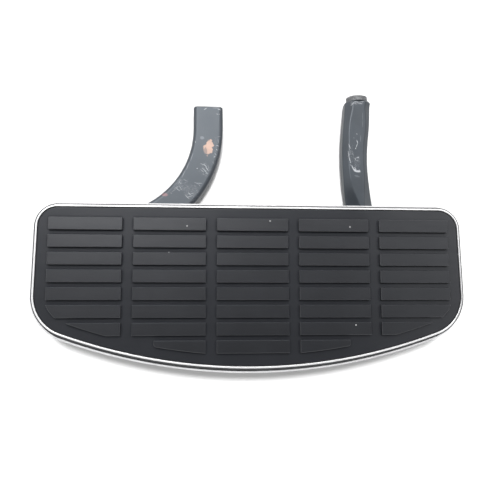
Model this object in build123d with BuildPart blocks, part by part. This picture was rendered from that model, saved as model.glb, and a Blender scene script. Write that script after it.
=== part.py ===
from build123d import *
from math import cos, radians, sin, sqrt, tan
import os

# A motorcycle rider's floorboard with the two arms that carry it, in millimetres.
# +X runs forward along the motorcycle, +Y inboard towards its frame and +Z up. The origin is the
# centre of the middle tread block's top face, on which the boot rests.

# Board outline, seen from above and measured round the lip at the foot of its wall
board_back_length = 328.6
board_front_length = 331.8
board_depth = 128.9
front_arc_radius = 420.0
back_corner_radius = 20.0
front_corner_radius = 35.0
lip_width = 2.8
lip_height = 2.2
lip_edge_round = 0.9
lip_cove = 1.4
rim_width = 2.4
rim_outer_round = 1.9
rim_inner_round = 0.4
skirt_height = 12.5
skirt_edge_round = 0.8
floor_thickness = 3.0

# Rubber tread
back_rows = 3
block_length = 54.2
block_depth = 9.6
column_gap = 7.8
row_gap = 3.4
block_height = 3.0
block_corner_radius = 1.0
block_edge_chamfer = 0.35
cut_corner_radius = 0.45
back_margin = 7.9
side_margin = 5.0
tread_margin = 7.9
least_block_length = 12.0
last_row_half_length = 73.0
last_row_corner_radius = 2.5
pad_thickness = 3.5
pad_clearance = 0.3
pad_edge_round = 0.8
rim_above_pad = 0.3

# Rubber anchors that pull through holes in the tray
anchor_columns = 4
anchor_rows = 2
anchor_pitch = 50.0
anchor_neck_radius = 3.4
anchor_clearance = 0.15
anchor_bulb_radius = 4.8
anchor_bulb_height = 3.4
anchor_tip_radius = 2.6

# Casting under the tray
rib_thickness = 2.4
rib_depth = 4.0
lug_radius = 10.0
lug_thickness = 7.0
lug_base_length = 38.0
stop_boss_radius = 9.5
stop_boss_depth = 4.5
sensor_boss_radius = 7.5
sensor_x = 100.0
sensor_wall_gap = 3.0

# Hinge
hinge_inset = 15.8
hinge_drop = 27.0
eye_radius = 11.5
eye_width = 14.0
bush_radius = 6.5
pin_radius = 5.0
running_clearance = 0.05
side_clearance = 0.25
pin_head_radius = 8.0
pin_head_thickness = 3.0
pin_chamfer = 1.0
groove_radius = 4.0
groove_width = 1.1
clip_thickness = 0.9
clip_radius = 7.6
clip_band = 1.6
clip_opening = 7.0
washer_radius = 9.3
washer_thickness = 1.2
washer_clearance = 0.3
spring_thickness = 0.7
spring_cone_height = 0.8
pin_tail = 2.4

# Rubber stop under the board and the toe it rests on
stop_distance = 24.0
stop_radius = 8.0
stop_height = 7.0
stop_stem_radius = 3.0
stop_stem_clearance = 0.1
stop_edge_round = 1.2
stop_gap = 0.3
toe_thickness = 9.0
toe_overhang = 1.5

# Wear studs under the outer edge
sensor_radius = 6.5
sensor_tip_radius = 4.0
sensor_length = 12.0
sensor_shank_radius = 3.0
sensor_shank_length = 7.0
sensor_shank_clearance = 0.1

# Rear arm: a flat bar with a quarter-circle bend
rear_arm_x = -33.2
rear_reach = 103.6
rear_bend_radius = 84.3
rear_bar_width = 24.2
rear_bar_thickness = 18.0
rear_bar_edge_round = 3.2
rear_end_chamfer = 1.0
rear_tail = 13.0
arm_top_clearance = 0.5
frame_hole_radius = 4.25
frame_hole_depth = 24.0

# Front arm: a forging with a waist, a narrowing ridge and a round spigot
front_waist_x = 90.1
front_waist_distance = 59.6
front_upper_radius = 194.0
front_upper_lean = 5.55
front_lower_radius = 180.0
front_reach = 112.4
front_bar_width = 22.0
front_waist_width = 21.2
front_flare_width = 22.6
front_bar_thickness = 19.0
front_upper_chamfer = 4.4
front_lower_chamfer = 5.2
front_ridge_chamfer = 9.2
front_section_round = 1.8
front_shoulder_chamfer = 1.6
spigot_radius = 9.0
spigot_length = 4.2

# Levels worked out from the block tops down
pad_top_z = -block_height
floor_top_z = pad_top_z - pad_thickness
floor_bottom_z = floor_top_z - floor_thickness
rim_top_z = pad_top_z + rim_above_pad
skirt_bottom_z = rim_top_z - skirt_height
stop_boss_bottom_z = floor_bottom_z - stop_boss_depth
stop_bottom_z = stop_boss_bottom_z - stop_height
toe_top_z = stop_bottom_z - stop_gap
hinge_z = -hinge_drop
bar_top_z = hinge_z - lug_radius - arm_top_clearance
arm_middle_z = bar_top_z - front_bar_thickness / 2
pocket_inset = lip_width + rim_width
pad_inset = pocket_inset + pad_clearance

# Blocks that fit on the pad
column_pitch = block_length + column_gap
row_pitch = block_depth + row_gap
pad_half_length = min(board_back_length, board_front_length) / 2 - pad_inset
columns_each_side = int((pad_half_length - side_margin - block_length / 2) / column_pitch)
pad_depth = board_depth - 2 * pad_inset
tread_rows = int((pad_depth - back_margin - tread_margin + row_gap) / row_pitch)

# Places along the board's depth and along the hinge axis
first_row_y = back_rows * row_pitch
pad_back_y = first_row_y + block_depth / 2 + back_margin
board_back_y = pad_back_y + pad_inset
board_front_y = board_back_y - board_depth
corner_x = board_front_length / 2
corner_y = board_front_y + front_arc_radius - sqrt(front_arc_radius**2 - corner_x**2)
hinge_y = board_back_y - hinge_inset
stop_y = hinge_y - stop_distance
anchor_middle_y = (board_back_y + board_front_y) / 2
edge_rise = front_arc_radius - sqrt(front_arc_radius**2 - sensor_x**2)
sensor_y = board_front_y + edge_rise + pocket_inset + sensor_wall_gap + sensor_boss_radius
rear_hinge_x = rear_arm_x - rear_bend_radius
rear_bend_y = hinge_y + rear_bend_radius
rear_end_y = hinge_y + rear_reach
front_waist_y = hinge_y + front_waist_distance
front_shoulder_y = hinge_y + front_reach
washer_bore_radius = pin_radius + washer_clearance
washer_space = washer_thickness + side_clearance
spring_space = spring_thickness + spring_cone_height + side_clearance
pin_grip = eye_width + washer_space + spring_space + 2 * lug_thickness


def front_arm_x(y):
    """Middle of the front arm at y: an arc below its waist, an arc and a leaning straight above it."""
    rise = y - front_waist_y
    if rise < 0:
        return front_waist_x + front_lower_radius - sqrt(front_lower_radius**2 - rise**2)
    lean = radians(front_upper_lean)
    arc_rise = front_upper_radius * sin(lean)
    if rise < arc_rise:
        return front_waist_x + front_upper_radius - sqrt(front_upper_radius**2 - rise**2)
    return front_waist_x + front_upper_radius * (1 - cos(lean)) + (rise - arc_rise) * tan(lean)


front_hinge_x = front_arm_x(hinge_y)


def board_outline(inset):
    """The half-moon outline, drawn on the level plane, inset evenly from the board's outer edge."""
    with BuildSketch() as outline:
        with BuildLine():
            back = Line((0, board_back_y), (board_back_length / 2, board_back_y))
            side = Line(back @ 1, (corner_x, corner_y))
            RadiusArc(side @ 1, (0, board_front_y), front_arc_radius)
            mirror(about=Plane.YZ)
        make_face()
        corners = outline.vertices().filter_by(lambda corner: abs(corner.X) > rim_width)
        fillet(corners.group_by(Axis.Y)[-1], back_corner_radius)
        corners = outline.vertices().filter_by(lambda corner: abs(corner.X) > board_back_length / 2)
        fillet(corners.sort_by(Axis.Y)[0:2], front_corner_radius)
        if inset > 0:
            offset(amount=-inset)
    return outline.sketch


def on_last_row_end(corner):
    """Whether a corner lies where the last row's outer blocks end."""
    return abs(abs(corner.X) - last_row_half_length) < block_corner_radius / 100


def tread_blocks():
    """Outlines of the raised blocks: whole in the back rows, clipped along the pad's edge in the others."""
    column_xs = [column * column_pitch for column in range(-columns_each_side, columns_each_side + 1)]
    row_ys = [first_row_y - row * row_pitch for row in range(tread_rows)]
    with BuildSketch() as whole:
        with Locations([(x, y) for x in column_xs for y in row_ys[:back_rows]]):
            RectangleRounded(block_length, block_depth, block_corner_radius)
    with BuildSketch() as cut:
        with Locations([(x, y) for x in column_xs for y in row_ys[back_rows:]]):
            Rectangle(block_length, block_depth)
        add(board_outline(pad_inset + tread_margin), mode=Mode.INTERSECT)
        for side, align in ((-1, Align.MAX), (1, Align.MIN)):
            with Locations((side * last_row_half_length, row_ys[-1])):
                Rectangle(2 * column_pitch, row_pitch, align=(align, Align.CENTER), mode=Mode.SUBTRACT)
        ends = cut.vertices().filter_by(lambda corner: on_last_row_end(corner)).sort_by(Axis.Y)
        fillet(ends[0:2], last_row_corner_radius)
    with BuildSketch() as rounded:
        add([block for block in cut.faces() if block.area > least_block_length * block_depth])
        offset(amount=-cut_corner_radius)
        offset(amount=cut_corner_radius)
    return whole.sketch, rounded.sketch


def underside_grid():
    """Where the tray's ribs cross between the rubber anchors."""
    return [(column - (anchor_columns - 2) / 2) * anchor_pitch for column in range(anchor_columns - 1)]


os.makedirs("parts", exist_ok=True)

# Tray: a plate with a raised rim and a hanging skirt, ribbed underneath
hinge_xs = {"rear": rear_hinge_x, "front": front_hinge_x}
pin_sides = {"rear": 1, "front": -1}


def lug_starts(name):
    """Lower x of the two lugs at a hinge: the one by the pin's head and the one by its clip."""
    side = pin_sides[name]
    head_lug = hinge_xs[name] - side * (eye_width / 2 + washer_space + lug_thickness / 2)
    clip_lug = hinge_xs[name] + side * (eye_width / 2 + spring_space + lug_thickness / 2)
    return head_lug - lug_thickness / 2, clip_lug - lug_thickness / 2


with BuildPart() as tray:
    with BuildSketch(Plane.XY.offset(skirt_bottom_z)):
        add(board_outline(0))
    extrude(amount=lip_height)
    fillet(tray.edges().group_by(Axis.Z)[-1], lip_edge_round)
    with BuildSketch(Plane.XY.offset(skirt_bottom_z)):
        add(board_outline(lip_width))
    extrude(amount=skirt_height)
    lip_top = tray.faces().filter_by(Axis.Z).group_by(Axis.Z)[-2]
    fillet(lip_top.edges().group_by(SortBy.LENGTH)[0], lip_cove)
    with BuildSketch(Plane.XY.offset(floor_top_z)):
        add(board_outline(pocket_inset))
    extrude(amount=rim_top_z - floor_top_z, mode=Mode.SUBTRACT)
    with BuildSketch(Plane.XY.offset(skirt_bottom_z)):
        add(board_outline(pocket_inset))
    extrude(amount=floor_bottom_z - skirt_bottom_z, mode=Mode.SUBTRACT)
    rim_edges = tray.edges().group_by(Axis.Z)[-1].group_by(SortBy.LENGTH)
    fillet(rim_edges[0], rim_inner_round)
    fillet(tray.edges().group_by(Axis.Z)[-1].group_by(SortBy.LENGTH)[-1], rim_outer_round)
    fillet(tray.edges().group_by(Axis.Z)[0], skirt_edge_round)
    with BuildSketch(Plane.XY.offset(floor_bottom_z)):
        with Locations([(x, anchor_middle_y) for x in underside_grid()]):
            Rectangle(rib_thickness, 2 * board_depth)
        with Locations((0, anchor_middle_y)):
            Rectangle(2 * board_back_length, rib_thickness)
        add(board_outline(pocket_inset - rim_outer_round), mode=Mode.INTERSECT)
    extrude(amount=-rib_depth)
    for name in hinge_xs:
        for start in lug_starts(name):
            with BuildSketch(Plane.YZ.offset(start)):
                with Locations((hinge_y, hinge_z)):
                    Circle(lug_radius)
                with Locations((hinge_y + lug_radius, floor_bottom_z)):
                    Rectangle(lug_base_length, floor_thickness / 2, align=(Align.MAX, Align.MIN))
                make_hull()
            extrude(amount=lug_thickness)
        with BuildSketch(Plane.XY.offset(floor_bottom_z)):
            with Locations((hinge_xs[name], stop_y)):
                Circle(stop_boss_radius)
        extrude(amount=-stop_boss_depth)
        with BuildSketch(Plane.YZ.offset(hinge_xs[name] - 2 * lug_thickness - eye_width)):
            with Locations((hinge_y, hinge_z)):
                Circle(pin_radius + running_clearance)
        extrude(amount=4 * lug_thickness + 2 * eye_width, mode=Mode.SUBTRACT)
    with BuildSketch(Plane.XY.offset(floor_bottom_z)):
        with Locations([(side * sensor_x, sensor_y) for side in (-1, 1)]):
            Circle(sensor_boss_radius)
    extrude(amount=skirt_bottom_z - floor_bottom_z)
    with Locations([(x, stop_y, stop_boss_bottom_z) for x in hinge_xs.values()]):
        Cylinder(
            stop_stem_radius + stop_stem_clearance,
            stop_boss_depth,
            align=(Align.CENTER, Align.CENTER, Align.MIN),
            mode=Mode.SUBTRACT,
        )
    with Locations([(side * sensor_x, sensor_y, skirt_bottom_z) for side in (-1, 1)]):
        Cylinder(
            sensor_shank_radius + sensor_shank_clearance,
            sensor_shank_length,
            align=(Align.CENTER, Align.CENTER, Align.MIN),
            mode=Mode.SUBTRACT,
        )
    with BuildSketch(Plane.XY.offset(floor_bottom_z)):
        with Locations((0, anchor_middle_y)):
            with GridLocations(anchor_pitch, anchor_pitch, anchor_columns, anchor_rows):
                Circle(anchor_neck_radius + anchor_clearance)
    extrude(amount=floor_thickness, mode=Mode.SUBTRACT)
tray.part.label = "footboard_tray"
export_step(tray.part, "parts/footboard_tray.step")

# Tread pad: one moulding with its blocks on top and its anchors underneath
whole_blocks, cut_blocks = tread_blocks()
with BuildPart() as pad:
    with BuildSketch(Plane.XY.offset(floor_top_z)):
        add(board_outline(pad_inset))
    extrude(amount=pad_thickness)
    fillet(pad.edges().group_by(Axis.Z)[-1], pad_edge_round)
    with BuildSketch(Plane.XY.offset(pad_top_z)):
        add(whole_blocks)
        add(cut_blocks)
    extrude(amount=block_height)
    chamfer(pad.edges().group_by(Axis.Z)[-1], block_edge_chamfer)
    with BuildSketch(Plane.XY.offset(floor_top_z)):
        with Locations((0, anchor_middle_y)):
            with GridLocations(anchor_pitch, anchor_pitch, anchor_columns, anchor_rows):
                Circle(anchor_neck_radius)
    extrude(amount=-floor_thickness)
    with Locations((0, anchor_middle_y, floor_bottom_z)):
        with GridLocations(anchor_pitch, anchor_pitch, anchor_columns, anchor_rows):
            Cone(
                anchor_tip_radius,
                anchor_bulb_radius,
                anchor_bulb_height,
                align=(Align.CENTER, Align.CENTER, Align.MAX),
            )
pad.part.label = "tread_pad"
export_step(pad.part, "parts/tread_pad.step")


def eye_and_toe(bar_bottom_z):
    """Side view of the upright eye round the hinge pin, with the toe that meets the rubber stop."""
    toe_tip_y = stop_y - stop_radius - toe_overhang
    root_y = hinge_y - eye_radius
    with BuildSketch() as profile:
        with BuildLine():
            Polyline(
                (toe_tip_y, toe_top_z),
                (hinge_y, toe_top_z),
                (hinge_y + eye_radius, hinge_z),
                (hinge_y + eye_radius, bar_bottom_z),
                (root_y, bar_bottom_z),
                (toe_tip_y, toe_top_z - toe_thickness),
                close=True,
            )
        make_face()
        fillet(profile.vertices().group_by(Axis.Y)[0], toe_thickness / 3)
        with Locations((hinge_y, hinge_z)):
            Circle(eye_radius)
    return profile.sketch


# Rear arm: the bar is swept round its bend and carries the eye on top of its tail
rear_middle_z = arm_middle_z
rear_bottom_z = rear_middle_z - rear_bar_thickness / 2
with BuildPart() as rear_arm:
    with BuildLine(Plane.XY.offset(rear_middle_z)) as rear_path:
        Line((rear_arm_x, rear_end_y), (rear_arm_x, rear_bend_y))
        bend = CenterArc((rear_hinge_x, rear_bend_y), rear_bend_radius, 0, -90)
        Line(bend @ 1, (rear_hinge_x - rear_tail, hinge_y))
    with BuildSketch(Plane(origin=rear_path.line @ 0, x_dir=(1, 0, 0), z_dir=(0, -1, 0))):
        RectangleRounded(rear_bar_width, rear_bar_thickness, rear_bar_edge_round)
    sweep(path=rear_path.line)
    chamfer(rear_arm.faces().sort_by(Axis.Y)[-1].edges(), rear_end_chamfer)
    with BuildSketch(Plane.YZ.offset(rear_hinge_x - eye_width / 2)):
        add(eye_and_toe(rear_bottom_z))
    extrude(amount=eye_width)
    with BuildSketch(Plane.YZ.offset(rear_hinge_x - eye_width)):
        with Locations((hinge_y, hinge_z)):
            Circle(bush_radius)
    extrude(amount=2 * eye_width, mode=Mode.SUBTRACT)
    with BuildSketch(Plane.XZ.offset(-rear_end_y)):
        with Locations((rear_arm_x, rear_middle_z)):
            Circle(frame_hole_radius)
    extrude(amount=frame_hole_depth, mode=Mode.SUBTRACT)
rear_arm.part.label = "rear_arm"
export_step(rear_arm.part, "parts/rear_arm.step")


def front_section(width, upper_chamfer):
    """Outline of the front arm across its length: a block with wide chamfers and rounded corners."""
    half = width / 2
    top = front_bar_thickness / 2
    with BuildSketch() as section:
        with BuildLine():
            Polyline(
                (half - upper_chamfer, top),
                (half, top - upper_chamfer),
                (half, front_lower_chamfer - top),
                (half - front_lower_chamfer, -top),
                (front_lower_chamfer - half, -top),
                (-half, front_lower_chamfer - top),
                (-half, top - upper_chamfer),
                (upper_chamfer - half, top),
                close=True,
            )
        make_face()
        fillet(section.vertices(), front_section_round)
    return section.sketch


# Front arm: lofted along its bow, its top narrowing to a ridge before it runs in under the board
front_root_y = hinge_y - eye_radius
front_arc_end_y = front_waist_y + front_upper_radius * sin(radians(front_upper_lean))
front_stations = (
    (front_shoulder_y, front_bar_width, front_upper_chamfer),
    ((front_shoulder_y + front_arc_end_y) / 2, front_bar_width, front_upper_chamfer),
    (front_arc_end_y, front_bar_width, front_upper_chamfer),
    (front_waist_y, front_waist_width, front_upper_chamfer),
    (front_waist_y - eye_radius, front_waist_width, front_upper_chamfer),
    (hinge_y + 2 * eye_radius, front_flare_width, front_ridge_chamfer),
    (hinge_y + eye_radius, front_flare_width, front_ridge_chamfer),
    (front_root_y, eye_width, front_lower_chamfer),
)
with BuildPart() as front_arm:
    for y, width, upper_chamfer in front_stations:
        with BuildSketch(Plane.XZ.offset(-y)):
            with Locations((front_arm_x(y), arm_middle_z)):
                add(front_section(width, upper_chamfer))
    loft()
    chamfer(front_arm.faces().sort_by(Axis.Y)[-1].edges(), front_shoulder_chamfer)
    with BuildSketch(Plane.XZ.offset(-front_shoulder_y)):
        with Locations((front_arm_x(front_shoulder_y), arm_middle_z)):
            Circle(spigot_radius)
    extrude(amount=-spigot_length)
    with BuildSketch(Plane.YZ.offset(front_hinge_x - eye_width / 2)):
        add(eye_and_toe(arm_middle_z - front_bar_thickness / 2))
    extrude(amount=eye_width)
    with BuildSketch(Plane.YZ.offset(front_hinge_x - eye_width)):
        with Locations((hinge_y, hinge_z)):
            Circle(bush_radius)
    extrude(amount=2 * eye_width, mode=Mode.SUBTRACT)
    with BuildSketch(Plane.XZ.offset(-front_shoulder_y - spigot_length)):
        with Locations((front_arm_x(front_shoulder_y), arm_middle_z)):
            Circle(frame_hole_radius)
    extrude(amount=frame_hole_depth, mode=Mode.SUBTRACT)
front_arm.part.label = "front_arm"
export_step(front_arm.part, "parts/front_arm.step")


def ring_along_hinge(start, outer_radius, inner_radius, thickness, side):
    """A flat ring round the hinge axis, from x = start in the direction of side."""
    with BuildPart() as ring:
        with BuildSketch(Plane.YZ.offset(start)):
            with Locations((hinge_y, hinge_z)):
                Circle(outer_radius)
                Circle(inner_radius, mode=Mode.SUBTRACT)
        extrude(amount=side * thickness)
    return ring.part


def hinge_pin(start, side):
    """A headed pin, turned about the hinge axis, with a groove for its clip near the plain end."""
    groove = pin_grip + washer_thickness
    end = groove + groove_width + pin_tail
    with BuildPart() as pin:
        with BuildSketch(Plane(origin=(start, hinge_y, hinge_z), x_dir=(side, 0, 0), z_dir=(0, -1, 0))):
            with BuildLine():
                Polyline(
                    (-pin_head_thickness, 0),
                    (-pin_head_thickness, pin_head_radius - pin_chamfer),
                    (pin_chamfer - pin_head_thickness, pin_head_radius),
                    (0, pin_head_radius),
                    (0, pin_radius),
                    (groove, pin_radius),
                    (groove, groove_radius),
                    (groove + groove_width, groove_radius),
                    (groove + groove_width, pin_radius),
                    (end - pin_chamfer, pin_radius),
                    (end, pin_radius - pin_chamfer),
                    (end, 0),
                    close=True,
                )
            make_face()
        revolve(axis=Axis((start, hinge_y, hinge_z), (1, 0, 0)))
    return pin.part


def pin_clip(start, side):
    """A flat retaining clip: a sprung C with three inner lugs that grip the pin's groove."""
    inner_radius = groove_radius + running_clearance
    lug_reach = clip_radius - clip_band - inner_radius
    with BuildPart() as clip:
        with BuildSketch(Plane.YZ.offset(start)):
            with Locations((hinge_y, hinge_z)):
                Circle(clip_radius)
                Circle(clip_radius - clip_band, mode=Mode.SUBTRACT)
                with PolarLocations(inner_radius, 3, start_angle=90):
                    Rectangle(lug_reach, 2 * clip_band, align=(Align.MIN, Align.CENTER))
                Circle(inner_radius, mode=Mode.SUBTRACT)
            with Locations((hinge_y, hinge_z)):
                Rectangle(
                    clip_opening,
                    2 * clip_radius,
                    align=(Align.CENTER, Align.MAX),
                    mode=Mode.SUBTRACT,
                )
        extrude(amount=side * clip_thickness)
    return clip.part


def spring_washer(start, side):
    """A conical spring washer, its wide edge against the lug."""
    with BuildPart() as spring:
        with BuildSketch(Plane(origin=(start, hinge_y, hinge_z), x_dir=(side, 0, 0), z_dir=(0, -1, 0))):
            with BuildLine():
                Polyline(
                    (0, washer_radius),
                    (spring_thickness, washer_radius),
                    (spring_thickness + spring_cone_height, washer_bore_radius),
                    (spring_cone_height, washer_bore_radius),
                    close=True,
                )
            make_face()
        revolve(axis=Axis((start, hinge_y, hinge_z), (1, 0, 0)))
    return spring.part


def stop_bumper(hinge_x):
    """A rubber stop with a stem that plugs into the boss under the board."""
    with BuildPart() as bumper:
        with Locations((hinge_x, stop_y, stop_boss_bottom_z)):
            Cylinder(stop_radius, stop_height, align=(Align.CENTER, Align.CENTER, Align.MAX))
        fillet(bumper.edges().group_by(Axis.Z)[0], stop_edge_round)
        with Locations((hinge_x, stop_y, stop_boss_bottom_z)):
            Cylinder(
                stop_stem_radius,
                stop_boss_depth - stop_stem_clearance,
                align=(Align.CENTER, Align.CENTER, Align.MIN),
            )
    return bumper.part


def bank_sensor(x):
    """A round-nosed wear stud that screws into the tray and touches the road before the board does."""
    with BuildPart() as stud:
        with Locations((x, sensor_y, skirt_bottom_z)):
            Cylinder(sensor_radius, sensor_length, align=(Align.CENTER, Align.CENTER, Align.MAX))
        chamfer(stud.edges().group_by(Axis.Z)[0], sensor_radius - sensor_tip_radius)
        with Locations((x, sensor_y, skirt_bottom_z)):
            Cylinder(
                sensor_shank_radius,
                sensor_shank_length - sensor_shank_clearance,
                align=(Align.CENTER, Align.CENTER, Align.MIN),
            )
    return stud.part


# Hinge pieces, stops and wear studs, a set at each arm; side is the way that the pin points
for name, hinge_x in hinge_xs.items():
    side = pin_sides[name]
    eye_start = hinge_x - side * eye_width / 2
    pin_start = eye_start - side * (washer_space + lug_thickness)
    clip_start = pin_start + side * pin_grip
    pieces = {
        "eye_bush": ring_along_hinge(
            eye_start, bush_radius, pin_radius + running_clearance, eye_width, side
        ),
        "thrust_washer": ring_along_hinge(
            eye_start - side * washer_space, washer_radius, washer_bore_radius, washer_thickness, side
        ),
        "spring_washer": spring_washer(clip_start - side * lug_thickness, -side),
        "hinge_pin": hinge_pin(pin_start, side),
        "pin_washer": ring_along_hinge(
            clip_start, washer_radius, washer_bore_radius, washer_thickness, side
        ),
        "pin_clip": pin_clip(
            clip_start + side * (washer_thickness + (groove_width - clip_thickness) / 2), side
        ),
        "stop_bumper": stop_bumper(hinge_x),
        "bank_sensor": bank_sensor(-side * sensor_x),
    }
    for piece_name, piece in pieces.items():
        piece.label = f"{name}_{piece_name}"
        export_step(piece, f"parts/{piece.label}.step")
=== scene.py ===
"""Dresses a motorcycle floorboard and the two arms that carry it, and sets them on a pale studio floor."""

import logging
from dataclasses import dataclass
from enum import Enum
from math import atan2, cos, radians, sin, sqrt
from typing import Any, Callable, Dict, List, Sequence, Tuple

import bpy
from mathutils import Matrix, Vector


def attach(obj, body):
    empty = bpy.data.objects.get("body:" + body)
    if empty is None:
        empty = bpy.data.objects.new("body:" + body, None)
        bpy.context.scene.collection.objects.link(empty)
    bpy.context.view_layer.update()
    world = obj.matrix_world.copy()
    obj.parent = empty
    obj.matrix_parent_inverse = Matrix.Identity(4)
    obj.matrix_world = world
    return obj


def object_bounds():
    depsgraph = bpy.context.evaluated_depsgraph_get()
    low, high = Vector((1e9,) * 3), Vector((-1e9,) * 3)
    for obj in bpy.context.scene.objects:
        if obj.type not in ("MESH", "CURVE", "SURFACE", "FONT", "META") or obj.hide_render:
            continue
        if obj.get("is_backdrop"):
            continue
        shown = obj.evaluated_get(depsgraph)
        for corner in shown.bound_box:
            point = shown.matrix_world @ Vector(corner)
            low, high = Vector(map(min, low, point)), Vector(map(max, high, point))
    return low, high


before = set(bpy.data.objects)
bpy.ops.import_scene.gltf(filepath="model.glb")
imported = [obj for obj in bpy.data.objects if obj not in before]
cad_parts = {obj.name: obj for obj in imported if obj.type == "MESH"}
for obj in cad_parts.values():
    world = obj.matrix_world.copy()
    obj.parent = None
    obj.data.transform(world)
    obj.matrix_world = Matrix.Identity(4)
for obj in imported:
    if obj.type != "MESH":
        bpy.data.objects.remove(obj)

LOG = logging.getLogger("floorboard")
MM = 0.001
ORIGIN = (0.0, 0.0, 0.0)

Socket = Any
Colour = Tuple[float, float, float]
Point = Tuple[float, float, float]
Stroke = Tuple[float, float, float, float, float, float]
Walk = List[Tuple[Vector, Vector]]


def in_metres(point: Sequence[float]) -> Point:
    """Turns a point written in millimetres into metres."""
    return tuple(MM * part for part in point)


def shaded(colour: Colour, share: float) -> Colour:
    """Makes a colour lighter or darker by a share of itself, no lighter than white."""
    return tuple(min(1.0, share * part) for part in colour)


def socket_name(name: str) -> str:
    """Turns a Python name into the name of a group's socket."""
    return name.replace("_", " ").capitalize()


class NodeSheet:
    """Writes the nodes of one material, world or group."""

    def __init__(self, tree: bpy.types.NodeTree) -> None:
        """Keeps the node tree that is written."""
        self.tree = tree

    def node(self, kind: str, **settings: Any) -> Any:
        """Adds one node.

        Args:
            kind: Blender's name of the node type.
            settings: properties set on the node.

        Returns:
            The new node.
        """
        made = self.tree.nodes.new(kind)
        for name, value in settings.items():
            setattr(made, name, value)
        return made

    def feed(self, socket: Socket, value: Any) -> None:
        """Links a socket to another one, or writes a plain value on it.

        Args:
            socket: the input to feed.
            value: an output socket, a number, a vector or a colour.
        """
        if isinstance(value, bpy.types.NodeSocket):
            self.tree.links.new(value, socket)
        elif socket.type == "RGBA" and len(value) == 3:
            socket.default_value = (*value, 1.0)
        else:
            socket.default_value = value

    def fill(self, shader: Any, values: Dict[str, Any]) -> None:
        """Feeds a shader's sockets, which are given by name."""
        for name, value in values.items():
            self.feed(shader.inputs[name], value)

    def maths(self, operation: str, first: Any, second: Any = 0.0, clamp: bool = False) -> Socket:
        """Adds a Math node and returns its value.

        Args:
            operation: the Math node's operation.
            first: its first input.
            second: its second input.
            clamp: whether the value is held between 0 and 1.

        Returns:
            The node's output.
        """
        made = self.node("ShaderNodeMath", operation=operation, use_clamp=clamp)
        self.feed(made.inputs[0], first)
        self.feed(made.inputs[1], second)
        return made.outputs[0]

    def times(self, first: Any, second: Any, clamp: bool = False) -> Socket:
        """Multiplies two values."""
        return self.maths("MULTIPLY", first, second, clamp)

    def scaled(self, value: Any, factor: Any, offset: Any) -> Socket:
        """Multiplies two values and adds a third."""
        made = self.node("ShaderNodeMath", operation="MULTIPLY_ADD")
        for index, part in enumerate((value, factor, offset)):
            self.feed(made.inputs[index], part)
        return made.outputs[0]

    def vectors(self, operation: str, first: Any, second: Any = ORIGIN) -> Socket:
        """Adds a Vector Math node.

        Args:
            operation: the node's operation.
            first: its first vector.
            second: its second vector, or the number that a vector is scaled by.

        Returns:
            A number for a dot product or a length, or else a vector.
        """
        made = self.node("ShaderNodeVectorMath", operation=operation)
        self.feed(made.inputs[0], first)
        self.feed(made.inputs["Scale" if operation == "SCALE" else 1], second)
        return made.outputs["Value" if operation in ("DOT_PRODUCT", "LENGTH") else "Vector"]

    def spread(self, value: Any, low: Any, high: Any, start: float = 0.0, end: float = 1.0) -> Socket:
        """Maps a value smoothly from one range to another and holds it there.

        Args:
            value: what is mapped.
            low: the value that gives start.
            high: the value that gives end.
            start: result at low.
            end: result at high.

        Returns:
            The mapped value.
        """
        made = self.node("ShaderNodeMapRange", interpolation_type="SMOOTHSTEP")
        for index, part in enumerate((value, low, high, start, end)):
            self.feed(made.inputs[index], part)
        return made.outputs[0]

    def mix(self, factor: Any, first: Any, second: Any) -> Socket:
        """Blends two colours.

        Args:
            factor: how much of the second colour shows.
            first: the first colour.
            second: the second colour.

        Returns:
            The blended colour.
        """
        made = self.node("ShaderNodeMix", data_type="RGBA")
        self.feed(made.inputs[0], factor)
        self.feed(made.inputs[6], first)
        self.feed(made.inputs[7], second)
        return made.outputs[2]

    def noise(self, vector: Any, scale: Any, detail: float = 2.0, roughness: float = 0.5) -> Socket:
        """Adds cloudy noise.

        Args:
            vector: where it is read.
            scale: features per unit of the vector.
            detail: number of finer layers.
            roughness: weight of the finer layers.

        Returns:
            The noise value.
        """
        made = self.node("ShaderNodeTexNoise")
        self.feed(made.inputs["Vector"], vector)
        self.feed(made.inputs["Scale"], scale)
        self.feed(made.inputs["Detail"], detail)
        self.feed(made.inputs["Roughness"], roughness)
        return made.outputs[0]

    def cells(self, vector: Any, scale: Any) -> Socket:
        """Adds cell noise.

        Args:
            vector: where it is read.
            scale: cells per unit of the vector.

        Returns:
            The distance to the nearest cell's point.
        """
        made = self.node("ShaderNodeTexVoronoi")
        self.feed(made.inputs["Vector"], vector)
        self.feed(made.inputs["Scale"], scale)
        return made.outputs["Distance"]

    def object_place(self) -> Socket:
        """Returns the place on the object, in metres, which moves with its body."""
        return self.node("ShaderNodeTexCoord").outputs["Object"]

    def object_normal(self) -> Socket:
        """Returns the surface's direction, which moves with its body."""
        return self.node("ShaderNodeTexCoord").outputs["Normal"]

    def parts(self, vector: Any) -> Tuple[Socket, Socket, Socket]:
        """Splits a vector into its x, y and z."""
        made = self.node("ShaderNodeSeparateXYZ")
        self.feed(made.inputs[0], vector)
        return made.outputs[0], made.outputs[1], made.outputs[2]


class Effect(Enum):
    """Surface effects that more than one finish uses."""

    GRAIN = "fine grain"
    EDGE_WEAR = "edge wear"
    DUST = "settled dust"
    SCRATCHES = "scratches"
    PATCH = "patch"
    STROKE = "single scratch"
    # Painted shade, from ambient occlusion.
    CREVICE = "painted_corner_shade"


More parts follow.
